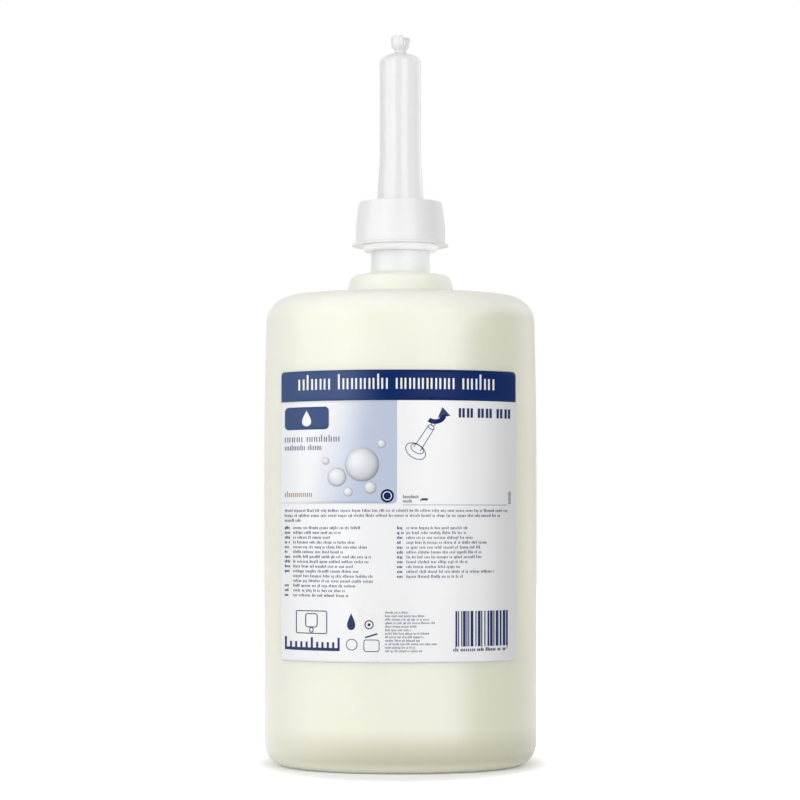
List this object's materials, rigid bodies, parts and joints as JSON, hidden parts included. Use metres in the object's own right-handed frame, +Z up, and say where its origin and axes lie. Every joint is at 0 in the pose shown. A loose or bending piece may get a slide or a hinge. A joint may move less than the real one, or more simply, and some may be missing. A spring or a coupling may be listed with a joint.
{
  "type": "hand soap refill pack",
  "caption": "Sealed soft-square bottle of hand soap with a clipped collar, a squeeze pump tube with a twist-off tip, and a front label.",
  "frame": {"origin": "middle of the bottle's base, on the surface that it stands on", "axes": "+Z up through the neck and the pump, -Y out of the label's front, +X to the right seen from the front"},
  "size_m": [0.0938, 0.0915, 0.2508],
  "materials": {
    "bottle_film": "frosted blown polyethylene, filled with cream-coloured soap",
    "collar_plastic": "white injection moulding with a soft satin gloss",
    "soft_tube": "soft natural elastomer, milky and slightly clear",
    "valve_plastic": "natural moulded plastic",
    "label_film": "white self-adhesive film",
    "print_navy": "dark blue print on the film",
    "print_pale_blue": "pale blue print on the film"
  },
  "bodies": {
    "root": {"bottle": "bottle_film", "collar": "collar_plastic", "pump_tube": "soft_tube", "valve_stem": "valve_plastic", "label": "label_film", "name_band": "print_navy", "picture_panel": "print_pale_blue"}
  },
  "joints": []
}
